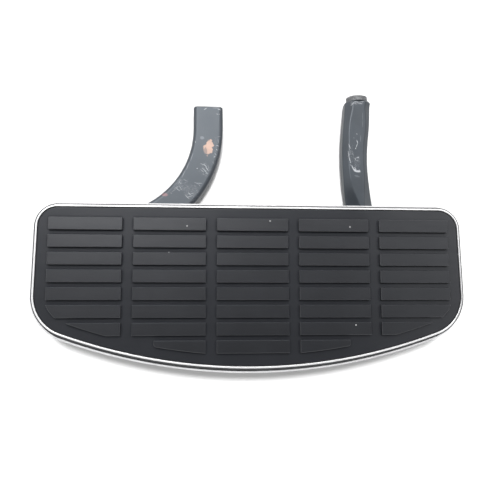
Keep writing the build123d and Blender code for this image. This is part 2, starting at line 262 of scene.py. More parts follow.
class EffectShelf:
    """Builds each shared effect once, as a shader node group, and hands it to the finishes."""

    def __init__(self) -> None:
        """Starts with an empty shelf."""
        self.groups: Dict[Effect, bpy.types.NodeTree] = {}
        self.makers: Dict[Effect, Callable[[], bpy.types.NodeTree]] = {
            Effect.GRAIN: self.make_grain,
            Effect.EDGE_WEAR: self.make_edge_wear,
            Effect.DUST: self.make_dust,
            Effect.SCRATCHES: self.make_scratches,
            Effect.PATCH: self.make_patch,
            Effect.STROKE: self.make_stroke,
            Effect.CREVICE: self.make_painted_corner_shade,
        }

    def place(self, sheet: NodeSheet, effect: Effect, **values: Any) -> Any:
        """Puts an effect into a material.

        Args:
            sheet: the material's nodes.
            effect: which effect.
            values: the group's inputs by Python name.

        Returns:
            The group node.
        """
        if effect not in self.groups:
            self.groups[effect] = self.makers[effect]()
        made = sheet.node("ShaderNodeGroup", node_tree=self.groups[effect])
        for name, value in values.items():
            sheet.feed(made.inputs[socket_name(name)], value)
        return made

    def patch(
        self, sheet: NodeSheet, place: Socket, centre: Point, reach: Point, ragged: float, scale: float
    ) -> Socket:
        """Lays a ragged patch on a material.

        Args:
            sheet: the material's nodes.
            place: where the surface is.
            centre: the patch's centre, in millimetres.
            reach: its half sizes, in millimetres.
            ragged: how far its outline strays.
            scale: how fine the straying is.

        Returns:
            The patch's mask.
        """
        laid = self.place(
            sheet,
            Effect.PATCH,
            place=place,
            centre=in_metres(centre),
            reach=in_metres(reach),
            ragged=ragged,
            scale=scale,
        )
        return laid.outputs["Mask"]

    def open_group(self, effect: Effect, **defaults: Any) -> Tuple[NodeSheet, List[Socket]]:
        """Starts a node group with named inputs.

        Args:
            effect: the effect that the group makes.
            defaults: each input's default by Python name; three numbers make it a vector.

        Returns:
            The group's sheet and its inputs.
        """
        tree = bpy.data.node_groups.new(effect.value, "ShaderNodeTree")
        for name, default in defaults.items():
            kind = "NodeSocketVector" if isinstance(default, tuple) else "NodeSocketFloat"
            socket = tree.interface.new_socket(name=socket_name(name), in_out="INPUT", socket_type=kind)
            socket.default_value = default
        sheet = NodeSheet(tree)
        return sheet, sheet.node("NodeGroupInput").outputs[: len(defaults)]

    def close_group(self, sheet: NodeSheet, **results: Socket) -> bpy.types.NodeTree:
        """Gives a node group its named outputs.

        Args:
            sheet: the group's nodes.
            results: each output's value by Python name.

        Returns:
            The group.
        """
        kind = "NodeSocketFloat"
        for name in results:
            sheet.tree.interface.new_socket(name=socket_name(name), in_out="OUTPUT", socket_type=kind)
        for socket, value in zip(sheet.node("NodeGroupOutput").inputs, results.values()):
            sheet.feed(socket, value)
        return sheet.tree

    def make_grain(self) -> bpy.types.NodeTree:
        """Fine moulded or cast grain: a height, and a slow tint that varies across the surface."""
        sheet, (place, scale, tint_scale) = self.open_group(
            Effect.GRAIN, place=ORIGIN, scale=1500.0, tint_scale=30.0
        )
        fine = sheet.noise(place, scale, detail=3.0, roughness=0.6)
        coarse = sheet.noise(place, sheet.times(scale, 0.23), detail=2.0)
        cloud = sheet.noise(place, tint_scale, detail=4.0, roughness=0.6)
        height = sheet.scaled(fine, 0.6, sheet.times(coarse, 0.4))
        return self.close_group(sheet, height=height, tint=sheet.spread(cloud, 0.3, 0.7))

    def make_edge_wear(self) -> bpy.types.NodeTree:
        """A mask of rubbed edges, broken up by noise."""
        sheet, (place, reach, amount, scale) = self.open_group(
            Effect.EDGE_WEAR, place=ORIGIN, reach=0.0008, amount=0.5, scale=400.0
        )
        rounded = sheet.node("ShaderNodeBevel", samples=4)
        sheet.feed(rounded.inputs["Radius"], reach)
        plain = sheet.node("ShaderNodeNewGeometry").outputs["Normal"]
        edge = sheet.spread(sheet.vectors("DOT_PRODUCT", rounded.outputs[0], plain), 0.998, 0.9)
        rough = sheet.noise(place, scale, detail=4.0, roughness=0.7)
        broken = sheet.spread(sheet.scaled(amount, 0.4, rough), 0.5, 0.72)
        return self.close_group(sheet, mask=sheet.times(edge, broken, clamp=True))

    def make_dust(self) -> bpy.types.NodeTree:
        """A mask of dust that settles on upward faces, with loose specks."""
        sheet, (place, amount, scale, specks) = self.open_group(
            Effect.DUST, place=ORIGIN, amount=0.3, scale=60.0, specks=0.5
        )
        cloud = sheet.spread(sheet.noise(place, scale, detail=6.0, roughness=0.7), 0.35, 0.75)
        fine = sheet.noise(place, sheet.times(scale, 40.0), detail=2.0)
        film = sheet.times(cloud, sheet.spread(fine, 0.3, 0.7))
        spot = sheet.spread(sheet.cells(place, sheet.times(scale, 4.0)), 0.1, 0.05)
        chosen = sheet.spread(sheet.noise(place, sheet.times(scale, 1.7), detail=1.0), 0.62, 0.7)
        total = sheet.scaled(film, amount, sheet.times(sheet.times(spot, chosen), specks))
        up = sheet.spread(sheet.parts(sheet.object_normal())[2], 0.0, 0.9)
        return self.close_group(sheet, mask=sheet.times(total, up, clamp=True))

    def make_scratches(self) -> bpy.types.NodeTree:
        """A mask of thin scratches that run mostly one way; Stretch shortens the pattern along an axis."""
        sheet, (place, stretch, turn, scale, amount) = self.open_group(
            Effect.SCRATCHES, place=ORIGIN, stretch=(1.0, 0.1, 1.0), turn=0.0, scale=300.0, amount=0.5
        )
        turned = sheet.node("ShaderNodeVectorRotate", rotation_type="Z_AXIS")
        sheet.feed(turned.inputs["Vector"], place)
        sheet.feed(turned.inputs["Angle"], turn)
        wander = sheet.noise(place, sheet.times(scale, 0.12), detail=1.0)
        lean = sheet.node("ShaderNodeCombineXYZ")
        sheet.feed(lean.inputs[0], sheet.times(wander, 0.004))
        bent = sheet.vectors("ADD", turned.outputs[0], lean.outputs[0])
        streak = sheet.noise(sheet.vectors("MULTIPLY", bent, stretch), scale, detail=3.0, roughness=0.65)
        line = sheet.spread(sheet.maths("ABSOLUTE", sheet.maths("SUBTRACT", streak, 0.5)), 0.02, 0.0)
        cloud = sheet.noise(place, sheet.times(scale, 0.2), detail=2.0)
        patchy = sheet.spread(sheet.maths("ADD", cloud, amount), 0.72, 1.05)
        return self.close_group(sheet, mask=sheet.times(line, patchy, clamp=True))

    def make_patch(self) -> bpy.types.NodeTree:
        """A soft-edged mask round one place, with a ragged outline."""
        sheet, (place, centre, reach, ragged, scale) = self.open_group(
            Effect.PATCH, place=ORIGIN, centre=ORIGIN, reach=(0.01, 0.01, 0.01), ragged=0.3, scale=200.0
        )
        local = sheet.vectors("DIVIDE", sheet.vectors("SUBTRACT", place, centre), reach)
        cloud = sheet.maths("SUBTRACT", sheet.noise(place, scale, detail=4.0, roughness=0.6), 0.5)
        edge = sheet.scaled(cloud, ragged, sheet.vectors("LENGTH", local))
        return self.close_group(sheet, mask=sheet.spread(edge, 1.0, 0.75))

    def make_stroke(self) -> bpy.types.NodeTree:
        """A mask of one scratch between two points, thick in its middle and broken along its edges."""
        sheet, (place, start, finish, half_width, strength) = self.open_group(
            Effect.STROKE, place=ORIGIN, start=ORIGIN, finish=ORIGIN, half_width=0.0002, strength=0.5
        )
        along = sheet.vectors("SUBTRACT", finish, start)
        offset = sheet.vectors("SUBTRACT", sheet.vectors("MULTIPLY", place, (1.0, 1.0, 0.0)), start)
        reach = sheet.vectors("DOT_PRODUCT", along, along)
        share = sheet.maths("DIVIDE", sheet.vectors("DOT_PRODUCT", offset, along), reach, clamp=True)
        nearest = sheet.vectors("SCALE", along, share)
        away = sheet.vectors("LENGTH", sheet.vectors("SUBTRACT", offset, nearest))
        rough = sheet.noise(place, 1500.0, detail=2.0, roughness=0.7)
        ragged = sheet.times(away, sheet.scaled(rough, 1.3, 0.35))
        from_middle = sheet.maths("ABSOLUTE", sheet.maths("SUBTRACT", share, 0.5))
        width = sheet.times(half_width, sheet.scaled(from_middle, -1.6, 1.35))
        core = sheet.spread(ragged, width, sheet.times(width, 0.35))
        return self.close_group(sheet, mask=sheet.times(core, strength))

    def make_painted_corner_shade(self) -> bpy.types.NodeTree:
        """A mask of the corners where little light comes in, read from ambient occlusion, for painted shade.
        """
        sheet, (reach,) = self.open_group(Effect.CREVICE, reach=0.002)
        hidden = sheet.node("ShaderNodeAmbientOcclusion", samples=8, only_local=True)
        sheet.feed(hidden.inputs["Distance"], reach)
        return self.close_group(sheet, mask=sheet.spread(hidden.outputs["AO"], 0.97, 0.5))


EFFECTS = EffectShelf()


@dataclass(frozen=True)
class Finish:
    """Base of the finishes: opens a material, and bump with it."""

    name: str = "finish"

    def open_material(self) -> Tuple[bpy.types.Material, NodeSheet, Any]:
        """Starts a material.

        Returns:
            The material, its sheet and its Principled BSDF.
        """
        material = bpy.data.materials.new(self.name)
        material.use_nodes = True
        sheet = NodeSheet(material.node_tree)
        shader = next(node for node in material.node_tree.nodes if node.type == "BSDF_PRINCIPLED")
        return material, sheet, shader

    def emboss(
        self, sheet: NodeSheet, shader: Any, height: Socket, depth_mm: float, soft_mm: float = 0.0
    ) -> None:
        """Gives the surface relief.

        Args:
            sheet: the material's nodes.
            shader: its Principled BSDF.
            height: the relief, from 0 to 1.
            depth_mm: how deep that is.
            soft_mm: how far from an edge the surface looks worn round.
        """
        bump = sheet.node("ShaderNodeBump")
        bump.inputs["Strength"].default_value = 1.0
        bump.inputs["Distance"].default_value = depth_mm * MM
        sheet.feed(bump.inputs["Height"], height)
        if soft_mm:
            soft = sheet.node("ShaderNodeBevel", samples=6)
            soft.inputs["Radius"].default_value = soft_mm * MM
            sheet.feed(bump.inputs["Normal"], soft.outputs[0])
        sheet.feed(shader.inputs["Normal"], bump.outputs[0])

    def make(self) -> bpy.types.Material:
        """Builds the material."""
        raise NotImplementedError


@dataclass(frozen=True)
class TreadRubber(Finish):
    """Black moulded rubber: tops rubbed to a soft sheen, grooves dull and with painted shade, and a few
    grains of grit.
    """

    name: str = "tread_rubber"
    body: Colour = (0.0092, 0.0098, 0.0115)
    rubbed: Colour = (0.03, 0.032, 0.036)
    grit: Colour = (0.5, 0.5, 0.5)
    sheen_tint: Colour = (0.82, 0.87, 1.0)
    gloss: float = 0.27
    top_roughness: float = 0.3
    groove_roughness: float = 0.42
    sheen_roughness: float = 0.29
    top_sheen: float = 0.95
    groove_sheen: float = 0.5
    # Reach of the painted shade at the blocks' feet, in millimetres.
    painted_shade_reach: float = 2.6
    edge_round: float = 0.5
    grit_places: Tuple[Point, ...] = (
        (13.0, 41.9, 0.0),
        (74.3, 37.8, 0.0),
        (77.0, -36.4, 0.0),
        (98.1, -44.6, 0.0),
        (-49.3, 37.5, 0.0),
        (-62.5, 17.8, 0.0),
        (-144.3, -26.3, -3.0),
        (-42.6, 31.5, 0.0),
    )
    grit_reach: Point = (0.55, 0.5, 0.6)
    groove_below_z: float = -1.2
    top_above_z: float = -0.3
    # Painted shade in the grooves and at the blocks' feet is full up to the first x and fades toward the
    # second.
    shade_fades_from_x: float = 60.0
    shade_faded_at_x: float = 130.0

    def gritty(self, sheet: NodeSheet, place: Socket) -> Socket:
        """Scatters the grains of grit.

        Args:
            sheet: the material's nodes.
            place: where the surface is.

        Returns:
            The mask of the grains.
        """
        grit: Socket = 0.0
        for spot in self.grit_places:
            grain = EFFECTS.patch(sheet, place, spot, self.grit_reach, ragged=1.2, scale=900.0)
            grit = sheet.maths("MAXIMUM", grit, grain)
        return grit

    def make(self) -> bpy.types.Material:
        """Builds the rubber."""
        material, sheet, shader = self.open_material()
        place = sheet.object_place()
        grain = EFFECTS.place(sheet, Effect.GRAIN, place=place, scale=1900.0, tint_scale=35.0)
        wear = EFFECTS.place(sheet, Effect.EDGE_WEAR, place=place, reach=0.0005, amount=0.5, scale=250.0)
        painted_corner_shade = EFFECTS.place(sheet, Effect.CREVICE, reach=self.painted_shade_reach * MM).outputs[0]
        x, _, z = sheet.parts(place)
        top = sheet.spread(z, self.groove_below_z * MM, self.top_above_z * MM)
        tint = grain.outputs["Tint"]
        smeared = sheet.vectors("MULTIPLY", place, (0.3, 1.6, 1.0))
        smear = sheet.spread(sheet.noise(smeared, 90.0, detail=5.0, roughness=0.6), 0.35, 0.7)
        tinted = sheet.mix(sheet.times(tint, 0.5), self.body, shaded(self.body, 1.3))
        rubbed = sheet.mix(sheet.times(wear.outputs["Mask"], 0.6), tinted, self.rubbed)
        uneven = sheet.times(sheet.maths("ADD", smear, tint), 0.04)
        level = sheet.spread(top, 0.0, 1.0, self.groove_roughness, self.top_roughness)
        # Painted shade, partly real: the grooves get less sheen, part dull moulding and part shade, fading
        # out toward the right end.
        soft = sheet.spread(x, self.shade_fades_from_x * MM, self.shade_faded_at_x * MM)
        deep = sheet.times(sheet.maths("SUBTRACT", 1.0, top), sheet.maths("SUBTRACT", 1.0, soft))
        sheen = sheet.spread(deep, 0.0, 1.0, self.top_sheen, self.groove_sheen)
        rubbed_off = sheet.scaled(smear, -0.14, 1.0)
        # Painted shade: the occlusion mask dims the sheen in the corners at the blocks' feet, less toward
        # the right end.
        shade = sheet.times(painted_corner_shade, sheet.spread(soft, 0.0, 1.0, 1.0, 0.35))
        lit = sheet.maths("SUBTRACT", 1.0, shade, clamp=True)
        finish = {
            "Base Color": sheet.mix(self.gritty(sheet, place), rubbed, self.grit),
            "Roughness": sheet.maths("ADD", level, uneven, clamp=True),
            "Coat Weight": sheet.times(sheet.times(sheen, rubbed_off), lit, clamp=True),
            "Coat Roughness": self.sheen_roughness,
            "Specular IOR Level": self.gloss,
            "Specular Tint": self.sheen_tint,
        }
        sheet.fill(shader, finish)
        self.emboss(sheet, shader, grain.outputs["Height"], 0.012, self.edge_round)
        return material


@dataclass(frozen=True)
class BoardCasting(Finish):
    """Aluminium casting: bright on the outside of its lip, as cast underneath."""

    name: str = "cast_aluminium"
    bright: Colour = (0.8, 0.8, 0.81)
    cast: Colour = (0.42, 0.425, 0.43)
    bright_roughness: float = 0.3
    cast_roughness: float = 0.55
    skirt_low_z: float = -15.1
    end_share: float = 0.3
    outward_above: float = 0.004
    upward_above: float = 0.25

    def make(self) -> bpy.types.Material:
        """Builds the casting's material."""
        material, sheet, shader = self.open_material()
        place = sheet.object_place()
        x, y, z = sheet.parts(place)
        normal_x, normal_y, normal_z = sheet.parts(sheet.object_normal())
        outward = sheet.scaled(y, normal_y, sheet.times(sheet.times(x, self.end_share), normal_x))
        outside = sheet.maths(
            "MAXIMUM",
            sheet.maths("GREATER_THAN", outward, self.outward_above),
            sheet.maths("GREATER_THAN", normal_z, self.upward_above),
        )
        shine = sheet.times(outside, sheet.maths("GREATER_THAN", z, self.skirt_low_z * MM))
        grain = EFFECTS.place(sheet, Effect.GRAIN, place=place, scale=900.0, tint_scale=25.0)
        dull = sheet.mix(grain.outputs["Tint"], self.cast, shaded(self.cast, 0.75))
        roughness = sheet.spread(shine, 0.0, 1.0, self.cast_roughness, self.bright_roughness)
        colour = sheet.mix(shine, dull, self.bright)
        sheet.fill(shader, {"Base Color": colour, "Metallic": 1.0, "Roughness": roughness})
        self.emboss(sheet, shader, grain.outputs["Height"], 0.012)
        return material


@dataclass(frozen=True)
class EdgeMetal(Finish):
    """The worked edge of the casting, polished, or painted dark or bright as a painted reflection, clouded
    by a thin bloom except at its front end.
    """

    name: str = "polished_edge"
    body: Colour = (0.9, 0.9, 0.91)
    shade: Colour = (0.82, 0.82, 0.83)
    roughness: float = 0.18
    bloom: float = 0.55
    clear_bloom: float = 0.0
    clear_from_x: float = 150.0
    clearing: float = 9.0
    gloss: float = 0.5

    def make(self) -> bpy.types.Material:
        """Builds the edge's material."""
        material, sheet, shader = self.open_material()
        place = sheet.object_place()
        grain = EFFECTS.place(sheet, Effect.GRAIN, place=place, scale=900.0, tint_scale=60.0)
        tint = grain.outputs["Tint"]
        clear_from = self.clear_from_x * MM
        clear_to = clear_from + self.clearing * MM
        x = sheet.parts(place)[0]
        finish = {
            "Base Color": sheet.mix(tint, self.body, self.shade),
            "Metallic": sheet.spread(x, clear_from, clear_to, 1.0 - self.bloom, 1.0 - self.clear_bloom),
            "Roughness": sheet.scaled(tint, 0.05, self.roughness),
            "Specular IOR Level": self.gloss,
        }
        sheet.fill(shader, finish)
        self.emboss(sheet, shader, grain.outputs["Height"], 0.003)
        return material


@dataclass(frozen=True)
class WornPaint(Finish):
    """Black chassis paint over steel with its scratches, chips and smudges, bare at a machined end."""

    name: str = "black_paint"
    body: Colour = (0.025, 0.0295, 0.036)
    exposed: Colour = (0.42, 0.43, 0.45)
    dust: Colour = (0.16, 0.16, 0.155)
    steel: Colour = (0.22, 0.22, 0.225)
    sheen_tint: Colour = (0.86, 0.93, 1.0)
    roughness: float = 0.3
    gloss: float = 1.0
    stroke_width: float = 1.3
    stroke_strength: float = 1.35
    strokes: Tuple[Stroke, ...] = ()
    scuffs: Tuple[Tuple[Point, Point, float, float], ...] = ()
    dabs: Tuple[Tuple[Point, Point, Colour, float], ...] = ()
    bare_from_y: float = 1000.0
    bare_blend: float = 0.6
    top_z: float = -45.0

    def scratched(self, sheet: NodeSheet, place: Socket) -> Socket:
        """Lays every single scratch.

        Args:
            sheet: the material's nodes.
            place: where the surface is.

        Returns:
            The mask of all the scratches, on the upper faces alone.
        """
        total: Socket = 0.0
        for x0, y0, x1, y1, half_width, strength in self.strokes:
            stroke = EFFECTS.place(
                sheet,
                Effect.STROKE,
                place=place,
                start=in_metres((x0, y0, 0.0)),
                finish=in_metres((x1, y1, 0.0)),
                half_width=self.stroke_width * half_width * MM,
                strength=min(1.0, self.stroke_strength * strength),
            )
            total = sheet.maths("MAXIMUM", total, stroke.outputs["Mask"])
        for centre, reach, turn, strength in self.scuffs:
            fine = EFFECTS.place(
                sheet,
                Effect.SCRATCHES,
                place=place,
                stretch=(1.0, 0.22, 1.0),
                turn=turn,
                scale=1100.0,
                amount=0.75,
            )
            patch = EFFECTS.patch(sheet, place, centre, reach, ragged=1.6, scale=260.0)
            scuff = sheet.times(sheet.times(fine.outputs["Mask"], patch), strength)
            total = sheet.maths("MAXIMUM", total, scuff)
        above = sheet.maths("GREATER_THAN", sheet.parts(place)[2], self.top_z * MM)
        return sheet.times(total, above)

    def make(self) -> bpy.types.Material:
        """Builds the paint."""
        material, sheet, shader = self.open_material()
        place = sheet.object_place()
        grain = EFFECTS.place(sheet, Effect.GRAIN, place=place, scale=700.0, tint_scale=45.0)
        wear = EFFECTS.place(sheet, Effect.EDGE_WEAR, place=place, reach=0.0009, amount=0.1, scale=330.0)
        dust = EFFECTS.place(sheet, Effect.DUST, place=place, amount=0.1, scale=70.0, specks=0.3)
        height, tint = grain.outputs["Height"], grain.outputs["Tint"]
        worn_edges = sheet.times(wear.outputs["Mask"], 0.25)
        marks = sheet.maths("MAXIMUM", worn_edges, self.scratched(sheet, place))
        tinted = sheet.mix(tint, self.body, shaded(self.body, 1.35))
        colour = sheet.mix(dust.outputs["Mask"], tinted, self.dust)
        for centre, reach, paint, strength in self.dabs:
            patch = EFFECTS.patch(sheet, place, centre, reach, ragged=1.3, scale=330.0)
            colour = sheet.mix(sheet.times(patch, strength), colour, paint)
        colour = sheet.mix(marks, colour, self.exposed)
        rim = sheet.scaled(height, self.bare_blend * MM, sheet.parts(place)[1])
        bare = sheet.spread(rim, self.bare_from_y * MM, (self.bare_from_y + self.bare_blend) * MM)
        rusted = sheet.spread(sheet.noise(place, 420.0, detail=4.0, roughness=0.7), 0.35, 0.65)
        steel = sheet.mix(rusted, self.steel, shaded(self.steel, 0.45))
        rough = sheet.scaled(tint, 0.08, self.roughness)
        worn = sheet.times(sheet.maths("MAXIMUM", marks, bare), 0.25)
        finish = {
            "Base Color": sheet.mix(bare, colour, steel),
            "Roughness": sheet.maths("ADD", rough, worn, clamp=True),
            "Metallic": sheet.times(bare, 0.4),
            "Specular IOR Level": self.gloss,
            "Specular Tint": self.sheen_tint,
        }
        sheet.fill(shader, finish)
        relief = sheet.scaled(sheet.times(bare, rusted), -1.5, height)
        self.emboss(sheet, shader, relief, 0.035)
        return material


@dataclass(frozen=True)
class PlainMetal(Finish):
    """Turned or stamped metal with light tarnish and rubbed edges."""

    name: str = "zinc_steel"
    body: Colour = (0.55, 0.55, 0.53)
    tarnish: Colour = (0.3, 0.29, 0.26)
    roughness: float = 0.35

    def make(self) -> bpy.types.Material:
        """Builds the metal."""
        material, sheet, shader = self.open_material()
        place = sheet.object_place()
        grain = EFFECTS.place(sheet, Effect.GRAIN, place=place, scale=2500.0, tint_scale=160.0)
        wear = EFFECTS.place(sheet, Effect.EDGE_WEAR, place=place, reach=0.0005, amount=0.6, scale=600.0)
        tint = grain.outputs["Tint"]
        stained = sheet.mix(sheet.times(tint, 0.6), self.body, self.tarnish)
        colour = sheet.mix(wear.outputs["Mask"], stained, shaded(self.body, 1.3))
        roughness = sheet.scaled(tint, 0.2, self.roughness)
        sheet.fill(shader, {"Base Color": colour, "Metallic": 1.0, "Roughness": roughness})
        self.emboss(sheet, shader, grain.outputs["Height"], 0.015)
        return material


@dataclass(frozen=True)
class StopRubber(Finish):
    """Dense moulded rubber of the stops, with a dry surface."""

    name: str = "stop_rubber"
    body: Colour = (0.022, 0.022, 0.023)
    bloom: Colour = (0.07, 0.07, 0.068)
    roughness: float = 0.62

    def make(self) -> bpy.types.Material:
        """Builds the stops' rubber."""
        material, sheet, shader = self.open_material()
        place = sheet.object_place()
        grain = EFFECTS.place(sheet, Effect.GRAIN, place=place, scale=1600.0, tint_scale=120.0)
        tint = grain.outputs["Tint"]
        colour = sheet.mix(tint, self.body, self.bloom)
        sheet.fill(shader, {"Base Color": colour, "Roughness": sheet.scaled(tint, 0.15, self.roughness)})
        self.emboss(sheet, shader, grain.outputs["Height"], 0.05)
        return material


def dress_node(node: str, material: bpy.types.Material) -> None:
    """Gives a node of the frame its material.

    Args:
        node: the node's name.
        material: what it is dressed in.
    """
    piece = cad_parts[node]
    if not piece.material_slots:
        piece.data.materials.append(material)
    for slot in piece.material_slots:
        slot.material = material
    LOG.info("dressed %s in %s", node, material.name)


@dataclass
class Board:
    """The cast tray and the rubber tread that lies in it."""

    tray: str = "footboard_tray"
    tread: str = "tread_pad"

    def dress(self) -> None:
        """Dresses the board."""
        dress_node(self.tray, BoardCasting().make())
        dress_node(self.tread, TreadRubber().make())


class Band(Enum):
    """Bands of the tray's edge, numbered as the facing's materials are."""

    RIM = 0
    # Painted reflection: a near-black band where the polished metal mirrors dark surroundings.
    WALL = 1
    LIP = 2


EDGE_METALS: Dict[Band, EdgeMetal] = {
    Band.RIM: EdgeMetal(),
    # Painted dark reflection: a near-black copy of the edge metal for the rim's outer round, the wall and
    # the cove.
    Band.WALL: EdgeMetal(
        name="painted_dark_edge",
        body=(0.032, 0.033, 0.035),
        shade=(0.045, 0.046, 0.048),
        roughness=0.45,
        bloom=1.0,
        clear_bloom=0.6,
        gloss=0.2,
    ),
    # Painted reflection: the lip's copy is mostly matte white, so it shows the bright line that the polished
    # lip mirrors.
    Band.LIP: EdgeMetal(
        name="painted_bright_lip",
        body=(0.7, 0.7, 0.71),
        shade=(0.6, 0.6, 0.61),
        bloom=0.92,
        clear_bloom=0.5,
    ),
}


@dataclass(frozen=True)
class EdgeCorner:
    """A corner of the edge's section: its place, the surface's direction there, and the next face's band."""

    inset: float
    level: float
    inward: float
    up: float
    band: Band


@dataclass
class EdgeFacing:
    """The worked skin of the tray's edge: polished rim, wall and cove painted dark and lip painted bright as
    painted reflections.
    """

    node: str = "tray_edge_facing"
    back_length: float = 328.6
    front_length: float = 331.8
    depth: float = 128.9
    back_y: float = 57.23
    front_arc_radius: float = 420.0
    back_corner_radius: float = 20.0
    front_corner_radius: float = 35.0
    lip_width: float = 2.8
    lip_top: float = -13.0
    lip_round: float = 0.9
    cove: float = 1.4
    rim_width: float = 2.4
    rim_top: float = -2.7
    rim_outer_round: float = 1.9
    rim_inner_round: float = 0.4
    lift: float = 0.03
    cove_lift: float = 0.1
    thickness: float = 0.02
    # Tilt on the rim's outer round beyond which the painted dark reflection starts.
    painted_dark_from_tilt: float = 19.0
    lip_tilt: float = 80.0
    corner_steps: int = 48
    arc_steps: int = 80

    def turn(self, centre: Vector, radius: float, start: float, end: float, steps: int) -> Walk:
        """Walks along an arc.

        Args:
            centre: the arc's centre.
            radius: its radius.
            start: where it starts, in radians.
            end: where it ends.
            steps: number of pieces.

        Returns:
            Each point with its outward direction.
        """
        walked = []
        for step in range(steps + 1):
            angle = start + (end - start) * step / steps
            outward = Vector((cos(angle), sin(angle)))
            walked.append((centre + radius * outward, outward))
        return walked

    def outline(self) -> Walk:
        """Walks round the board's outer edge, seen from above, clockwise from the middle of the back.

        Returns:
            Each point with its outward direction.
        """
        front_y = self.back_y - self.depth
        arc_centre = Vector((0.0, front_y + self.front_arc_radius))
        back_end = Vector((self.back_length / 2, self.back_y))
        drop = sqrt(self.front_arc_radius**2 - (self.front_length / 2) ** 2)
        front_end = Vector((self.front_length / 2, arc_centre.y - drop))
        along = (front_end - back_end).normalized()
        outward = Vector((-along.y, along.x))
        side_angle = atan2(outward.y, outward.x)
        start = back_end - self.back_corner_radius * outward
        inner_y = self.back_y - self.back_corner_radius
        back_centre = start + along * ((inner_y - start.y) / along.y)
        foot = back_end - self.front_corner_radius * outward - arc_centre
        reach = self.front_arc_radius - self.front_corner_radius
        half = foot.dot(along)
        front_centre = arc_centre + foot + along * (-half + sqrt(half**2 - foot.length_squared + reach**2))
        touch = front_centre - arc_centre
        touch_angle = atan2(touch.y, touch.x)
        steps = self.corner_steps
        right = self.turn(back_centre, self.back_corner_radius, radians(90), side_angle, steps)
        right += self.turn(front_centre, self.front_corner_radius, side_angle, touch_angle, steps)
        right += self.turn(arc_centre, self.front_arc_radius, touch_angle, radians(-90), self.arc_steps)[1:]
        left = [
            (Vector((-point.x, point.y)), Vector((-direction.x, direction.y)))
            for point, direction in reversed(right[:-1])
        ]
        return right + left

    def bend(self, inset: float, level: float, reach: float, turn: float, band: Band) -> EdgeCorner:
        """Finds a corner on a round of the section.

        Args:
            inset: how far in from the outline the round's centre lies.
            level: the centre's height.
            reach: the round's radius, below zero for a hollow.
            turn: the surface's direction, in degrees up from straight inward.
            band: the band of the face that starts there.

        Returns:
            The corner.
        """
        inward, up = cos(radians(turn)), sin(radians(turn))
        return EdgeCorner(inset + reach * inward, level + reach * up, inward, up, band)

    def profile(self) -> List[EdgeCorner]:
        """Draws the edge's section from the rim's inner side to the lip.

        Returns:
            Its corners.
        """
        inset = self.lip_width + self.rim_width - self.rim_inner_round
        level = self.rim_top - self.rim_inner_round
        reach = self.rim_inner_round + self.lift
        section = [self.bend(inset, level, reach, 22.5 * step, Band.RIM) for step in range(5)]
        inset = self.lip_width + self.rim_outer_round
        level = self.rim_top - self.rim_outer_round
        reach = self.rim_outer_round + self.lift
        for tilt in range(0, 96, 6):
            # Painted reflection: beyond this tilt the rim's round takes the dark band.
            band = Band.RIM if tilt < self.painted_dark_from_tilt else Band.WALL
            section.append(self.bend(inset, level, reach, 90.0 + tilt, band))
        inset, level = self.lip_width - self.cove, self.lip_top + self.cove
        for tilt in range(0, 105, 15):
            # Painted reflection: the cove is dark except for its last face, which is painted bright with the
            # lip.
            band = Band.LIP if tilt == 90 else Band.WALL
            section.append(self.bend(inset, level, self.cove_lift - self.cove, 180.0 - tilt, band))
        inset, level = self.lip_round, self.lip_top - self.lip_round
        for step in range(7):
            tilt = self.lip_tilt * step / 6
            reach = self.lip_round + self.lift * cos(radians(tilt))
            section.append(self.bend(inset, level, reach, 90.0 + tilt, Band.LIP))
        return section

    def build(self) -> bpy.types.Object:
        """Sweeps the section round the outline.

        Returns:
            The facing.
        """
        outline = self.outline()
        section = self.profile()
        loop = [(corner.inset, corner.level, corner.band) for corner in section]
        loop += [
            (
                corner.inset - self.thickness * corner.inward,
                corner.level - self.thickness * corner.up,
                Band.RIM,
            )
            for corner in reversed(section)
        ]
        corners = []
        for point, outward in outline:
            for inset, level, _ in loop:
                place = point - outward * inset
                corners.append(in_metres((place.x, place.y, level)))
        faces, bands = [], []
        count = len(loop)
        for here in range(len(outline)):
            there = (here + 1) % len(outline)
            for row, (_, _, band) in enumerate(loop):
                below = (row + 1) % count
                near, far = here * count, there * count
                faces.append((near + row, near + below, far + below, far + row))
                bands.append(band.value)
        mesh = bpy.data.meshes.new(self.node)
        mesh.from_pydata(corners, [], faces)
        for band in Band:
            mesh.materials.append(EDGE_METALS[band].make())
        mesh.polygons.foreach_set("material_index", bands)
        mesh.polygons.foreach_set("use_smooth", [True] * len(faces))
        mesh.update()
        facing = bpy.data.objects.new(self.node, mesh)
        bpy.context.scene.collection.objects.link(facing)
        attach(facing, "board")
        LOG.info("built %s with %d faces", self.node, len(faces))
        return facing


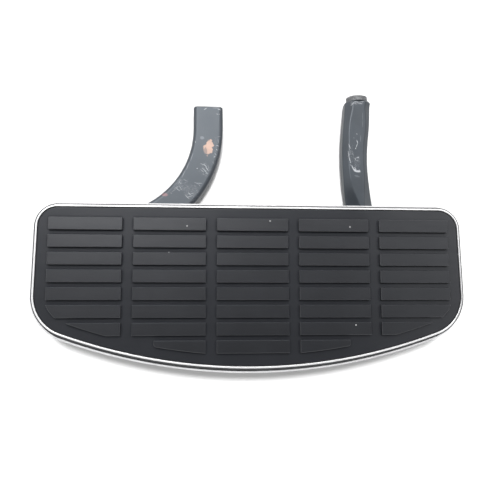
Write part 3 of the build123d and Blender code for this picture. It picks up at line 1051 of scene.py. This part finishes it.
@dataclass
class Arms:
    """The two painted arms."""

    rear: str = "rear_arm"
    front: str = "front_arm"

    rear_strokes: Tuple[Stroke, ...] = (
        (-39.5, 96.0, -36.4, 94.7, 0.18, 0.45), (-36.7, 95.4, -34.5, 93.1, 0.25, 0.6),
        (-38.2, 92.4, -35.1, 89.6, 0.18, 0.6), (-35.1, 93.1, -32.9, 89.9, 0.25, 0.65),
        (-39.2, 90.8, -36.6, 88.6, 0.15, 0.5), (-36.7, 91.2, -33.5, 87.3, 0.18, 0.6),
        (-33.2, 94.5, -32.6, 91.2, 0.15, 0.3), (-37.6, 87.3, -36.2, 86.9, 0.18, 0.4),
        (-35.1, 87.2, -33.7, 88.3, 0.18, 0.4), (-42.5, 91.8, -41.7, 91.7, 0.28, 0.9),
        (-25.4, 118.6, -22.9, 119.4, 0.18, 0.3), (-25.1, 116.7, -24.7, 113.5, 0.18, 0.35),
        (-26.5, 111.5, -24.3, 110.9, 0.28, 0.55), (-26.4, 108.2, -25.6, 107.3, 0.31, 0.8),
        (-27.7, 104.9, -26.3, 102.9, 0.25, 0.4), (-28.6, 101.5, -27.2, 102.1, 0.28, 0.55),
        (-29.4, 97.8, -28.7, 95.7, 0.18, 0.3), (-36.7, 141.8, -34.5, 143.3, 0.31, 0.6),
        (-29.6, 143.5, -23.1, 143.6, 0.18, 0.55), (-25.2, 142.6, -22.7, 141.9, 0.25, 0.7),
        (-26.5, 138.4, -25.0, 138.1, 0.22, 0.5), (-24.3, 138.6, -23.6, 137.7, 0.18, 0.45),
        (-43.9, 114.9, -43.5, 113.4, 0.22, 0.5), (-45.6, 104.6, -47.5, 98.1, 0.22, 0.28),
        (-48.6, 97.4, -50.7, 90.6, 0.22, 0.3), (-51.9, 89.9, -54.4, 83.8, 0.18, 0.3),
        (-55.0, 82.5, -57.6, 78.5, 0.22, 0.35), (-53.2, 82.5, -49.9, 80.9, 0.18, 0.35),
        (-57.0, 80.6, -54.9, 78.5, 0.22, 0.45), (-60.7, 74.6, -56.7, 76.9, 0.18, 0.4),
        (-59.4, 75.4, -56.1, 72.8, 0.22, 0.5), (-56.8, 77.4, -54.2, 73.4, 0.18, 0.45),
        (-62.5, 72.0, -59.2, 74.1, 0.15, 0.35), (-63.6, 71.2, -62.4, 70.6, 0.25, 0.3),
        (-44.4, 80.2, -40.5, 78.5, 0.18, 0.35), (-42.0, 79.5, -38.0, 79.3, 0.22, 0.4),
        (-40.7, 78.6, -39.6, 76.8, 0.18, 0.3), (-49.3, 71.4, -47.3, 69.7, 0.28, 0.65),
        (-51.3, 69.1, -48.5, 66.4, 0.25, 0.55), (-49.4, 68.1, -45.5, 69.0, 0.22, 0.5),
        (-47.6, 70.1, -44.2, 71.5, 0.18, 0.45),
    )
    front_strokes: Tuple[Stroke, ...] = (
        (84.3, 114.7, 85.5, 110.8, 0.28, 0.5), (83.9, 108.4, 84.1, 103.5, 0.25, 0.4),
        (84.1, 103.6, 85.6, 98.4, 0.28, 0.6), (85.0, 97.2, 85.9, 96.0, 0.28, 0.35),
        (87.0, 107.1, 88.1, 104.9, 0.31, 0.25), (91.2, 118.3, 92.0, 115.6, 0.34, 0.6),
        (92.0, 115.7, 90.2, 111.5, 0.28, 0.5), (89.8, 111.1, 90.3, 110.7, 0.37, 0.9),
        (91.2, 124.0, 91.7, 123.2, 0.34, 0.35), (88.6, 120.4, 89.0, 119.8, 0.31, 0.2),
        (94.7, 122.4, 94.4, 117.1, 0.15, 0.25), (96.9, 142.6, 96.7, 135.2, 0.15, 0.16),
        (96.7, 135.2, 96.5, 129.6, 0.18, 0.14), (89.3, 103.0, 89.9, 100.7, 0.28, 0.5),
        (90.4, 102.9, 92.0, 103.3, 0.28, 0.55), (91.8, 103.9, 92.6, 102.7, 0.25, 0.6),
        (90.1, 100.5, 92.3, 100.9, 0.18, 0.35), (86.4, 96.3, 87.8, 93.0, 0.43, 0.6),
        (87.6, 93.4, 90.3, 91.1, 0.8, 0.8), (90.2, 91.7, 93.2, 91.1, 0.8, 0.85),
        (88.6, 94.7, 90.1, 92.5, 0.43, 0.5), (92.6, 92.7, 93.3, 91.5, 0.37, 0.6),
        (88.7, 87.8, 92.4, 86.8, 0.68, 0.1), (87.2, 148.7, 89.6, 151.0, 0.25, 0.6),
        (89.4, 151.2, 92.0, 152.0, 0.25, 0.5), (92.2, 152.0, 93.9, 150.3, 0.25, 0.55),
        (93.8, 150.0, 96.3, 150.4, 0.25, 0.5), (95.6, 152.1, 98.3, 152.3, 0.25, 0.5),
        (90.1, 150.2, 91.7, 149.8, 0.22, 0.4),
    )
    rear_dabs: Tuple[Tuple[Point, Point, Colour, float], ...] = (
        ((-33.4, 108.4, -38.0), (4.0, 5.6, 3.0), (0.48, 0.3, 0.22), 0.9),
        ((-32.0, 112.0, -38.0), (3.2, 4.6, 3.0), (0.48, 0.3, 0.22), 0.9),
        ((-35.4, 106.4, -38.0), (1.7, 3.2, 3.0), (0.14, 0.1, 0.085), 0.75),
        ((-38.2, 117.6, -38.0), (2.0, 1.6, 3.0), (0.2, 0.21, 0.23), 0.5),
        ((-68.0, 69.6, -38.0), (3.0, 1.6, 3.0), (0.35, 0.16, 0.16), 0.5),
    )
    rear_scuffs: Tuple[Tuple[Point, Point, float, float], ...] = (
        ((-35.6, 91.2, -38.0), (5.0, 6.5, 4.0), 0.6, 0.55),
        ((-56.0, 78.6, -38.0), (8.0, 6.0, 4.0), 1.0, 0.5),
        ((-46.5, 71.5, -38.0), (7.0, 7.0, 4.0), 0.7, 0.5),
        ((-26.5, 106.0, -38.0), (3.0, 12.0, 4.0), 0.1, 0.35),
    )
    front_scuffs: Tuple[Tuple[Point, Point, float, float], ...] = (
        ((85.6, 106.0, -38.0), (3.0, 9.0, 4.0), 0.0, 0.6),
        ((90.8, 99.0, -38.0), (3.5, 6.0, 4.0), 0.3, 0.45),
        ((92.5, 151.0, -38.0), (7.0, 2.2, 4.0), 1.2, 0.8),
    )
    spigot_from_y: float = 153.9

    def dress(self) -> None:
        """Dresses the arms."""
        dress_node(
            self.rear,
            WornPaint(
                name="rear_black_paint",
                strokes=self.rear_strokes,
                scuffs=self.rear_scuffs,
                dabs=self.rear_dabs,
            ).make(),
        )
        dress_node(
            self.front,
            WornPaint(
                name="front_black_paint",
                roughness=0.28,
                gloss=0.85,
                strokes=self.front_strokes,
                scuffs=self.front_scuffs,
                bare_from_y=self.spigot_from_y,
            ).make(),
        )


@dataclass
class HingeHardware:
    """Pins, washers, clips, bushes, stops and wear studs of both hinges."""

    places: Tuple[str, ...] = ("rear", "front")

    def dress(self) -> None:
        """Dresses the hardware."""
        steel = PlainMetal().make()
        bronze = PlainMetal(
            name="bush_bronze", body=(0.5, 0.33, 0.16), tarnish=(0.25, 0.16, 0.08), roughness=0.3
        ).make()
        rubber = StopRubber().make()
        dressed = {
            "hinge_pin": steel,
            "thrust_washer": steel,
            "spring_washer": steel,
            "pin_washer": steel,
            "pin_clip": steel,
            "eye_bush": bronze,
            "stop_bumper": rubber,
            "bank_sensor": steel,
        }
        for place in self.places:
            for piece, material in dressed.items():
                dress_node(f"{place}_{piece}", material)


@dataclass
class Studio:
    """Pale floor, soft light and the camera, set as in the photograph."""

    floor_drop: float = 0.3
    floor_half_size: float = 3000.0
    camera_place: Point = (-41.42, -43.67, 473.4)
    camera_right: Point = (0.99663, -0.00481, 0.08184)
    camera_up: Point = (-0.00607, 0.99121, 0.13213)
    camera_forward: Point = (0.08176, 0.13218, -0.98785)
    lens: float = 46.08
    sensor: float = 36.0
    lamp_distance: float = 2.5
    lamp_toward: Point = (-0.1643, 0.5117, 0.8433)
    lamp_size: float = 1.8
    lamp_power: float = 34.0
    top_lamp_toward: Point = (-0.06, 0.155, 0.985)
    top_lamp_size: float = 0.34
    top_lamp_power: float = 60.0
    floor_colour: Colour = (0.88, 0.88, 0.88)
    floor_glow: float = 0.01
    mirrored_floor_share: float = 0.6
    mirrored_floor_glow: float = 0.45
    wall_light: float = 1.15
    front_wall_light: float = 0.45
    ceiling_light: float = 0.42
    window_light: float = 1.3
    front_toward: Point = (1.0, 0.1, 0.0)
    dark_toward: Point = (0.0793, -0.0603, 0.995)
    window_toward: Point = (0.512, 0.3096, 0.8012)
    white: Colour = (1.0, 1.0, 1.0)

    def build(self) -> None:
        """Builds the stage."""
        self.lay_floor()
        self.light_world()
        self.hang_lamps()
        self.set_camera()

    def lay_floor(self) -> None:
        """Lays a white floor just under the lowest point, which glows faintly where metal mirrors it."""
        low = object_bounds()[0][2]
        half = self.floor_half_size * MM
        height = low - self.floor_drop * MM
        mesh = bpy.data.meshes.new("floor")
        corners = [(x * half, y * half, height) for x, y in ((-1, -1), (1, -1), (1, 1), (-1, 1))]
        mesh.from_pydata(corners, [], [(0, 1, 2, 3)])
        floor = bpy.data.objects.new("floor", mesh)
        bpy.context.scene.collection.objects.link(floor)
        material = bpy.data.materials.new("studio_floor")
        material.use_nodes = True
        sheet = NodeSheet(material.node_tree)
        material.node_tree.nodes.clear()
        matt = sheet.node("ShaderNodeBsdfDiffuse")
        sheet.feed(matt.inputs["Color"], self.floor_colour)
        glow = sheet.node("ShaderNodeEmission")
        sheet.feed(glow.inputs["Color"], self.white)
        seen = sheet.node("ShaderNodeLightPath")
        mirrored = seen.outputs["Is Glossy Ray"]
        sheet.feed(glow.inputs["Strength"], sheet.spread(mirrored, 0.0, 1.0, 1.0, self.mirrored_floor_glow))
        blend = sheet.node("ShaderNodeMixShader")
        shown = sheet.maths(
            "MAXIMUM",
            sheet.times(seen.outputs["Is Camera Ray"], self.floor_glow),
            sheet.times(mirrored, self.mirrored_floor_share),
        )
        sheet.feed(blend.inputs[0], shown)
        sheet.feed(blend.inputs[1], matt.outputs[0])
        sheet.feed(blend.inputs[2], glow.outputs[0])
        result = sheet.node("ShaderNodeOutputMaterial")
        sheet.feed(result.inputs["Surface"], blend.outputs[0])
        mesh.materials.append(material)
        floor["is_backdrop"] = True

    def light_world(self) -> None:
        """Lights the scene with a white room, dim overhead and toward the front, with a bright window."""
        world = bpy.data.worlds.new("white_room")
        bpy.context.scene.world = world
        world.use_nodes = True
        world.node_tree.nodes.clear()
        sheet = NodeSheet(world.node_tree)
        toward = sheet.node("ShaderNodeTexCoord").outputs["Generated"]
        height = sheet.parts(toward)[2]
        forward = sheet.vectors("DOT_PRODUCT", toward, self.front_toward)
        overhead = sheet.vectors("DOT_PRODUCT", toward, self.dark_toward)
        window = sheet.vectors("DOT_PRODUCT", toward, self.window_toward)
        walls = sheet.spread(forward, 0.5, 0.9, self.wall_light, self.front_wall_light)
        ceiling = sheet.times(sheet.spread(height, 0.42, 0.82), self.ceiling_light)
        room = sheet.scaled(walls, sheet.spread(height, 0.82, 0.42), ceiling)
        dimmed = sheet.times(room, sheet.spread(overhead, 0.97, 0.935))
        strength = sheet.maths("ADD", dimmed, sheet.spread(window, 0.912, 0.996, 0.0, self.window_light))
        seen = sheet.node("ShaderNodeLightPath").outputs["Is Camera Ray"]
        shown = sheet.maths("MAXIMUM", seen, sheet.times(strength, sheet.maths("SUBTRACT", 1.0, seen)))
        light = sheet.node("ShaderNodeBackground")
        sheet.feed(light.inputs["Color"], self.white)
        sheet.feed(light.inputs["Strength"], shown)
        result = sheet.node("ShaderNodeOutputWorld")
        sheet.feed(result.inputs["Surface"], light.outputs[0])

    def hang_lamps(self) -> None:
        """Hangs a large lamp that only gloss shows, and a small one that lights the board and the floor."""
        soft = self.hang_lamp("soft_lamp", self.lamp_toward, self.lamp_size, self.lamp_power)
        soft.visible_diffuse = False
        top = self.hang_lamp("top_lamp", self.top_lamp_toward, self.top_lamp_size, self.top_lamp_power)
        top.visible_glossy = False

    def hang_lamp(self, name: str, toward: Point, size: float, power: float) -> bpy.types.Object:
        """Hangs one round lamp that faces the board.

        Args:
            name: the lamp's name.
            toward: its direction from the board.
            size: its diameter in metres.
            power: its power in watts.

        Returns:
            The lamp.
        """
        lamp_data = bpy.data.lights.new(name, "AREA")
        lamp_data.shape = "DISK"
        lamp_data.size = size
        lamp_data.energy = power
        lamp = bpy.data.objects.new(name, lamp_data)
        lamp.location = Vector(toward).normalized() * self.lamp_distance
        lamp.rotation_euler = Vector(toward).to_track_quat("Z", "Y").to_euler()
        bpy.context.scene.collection.objects.link(lamp)
        return lamp

    def set_camera(self) -> None:
        """Sets the camera where the photograph was taken from."""
        data = bpy.data.cameras.new("camera")
        data.lens = self.lens
        data.sensor_width = self.sensor
        data.sensor_fit = "HORIZONTAL"
        data.clip_start = 0.01
        camera = bpy.data.objects.new("camera", data)
        back = -Vector(self.camera_forward)
        turn = Matrix((self.camera_right, self.camera_up, back)).transposed()
        camera.matrix_world = Matrix.Translation(in_metres(self.camera_place)) @ turn.to_4x4()
        bpy.context.scene.collection.objects.link(camera)
        bpy.context.scene.camera = camera


def main() -> None:
    """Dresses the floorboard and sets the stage."""
    logging.basicConfig(level=logging.INFO, format="%(message)s")
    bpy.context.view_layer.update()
    Board().dress()
    EdgeFacing().build()
    Arms().dress()
    HingeHardware().dress()
    Studio().build()
    bpy.context.scene.view_settings.view_transform = "Standard"


if __name__ == "__main__":
    main()
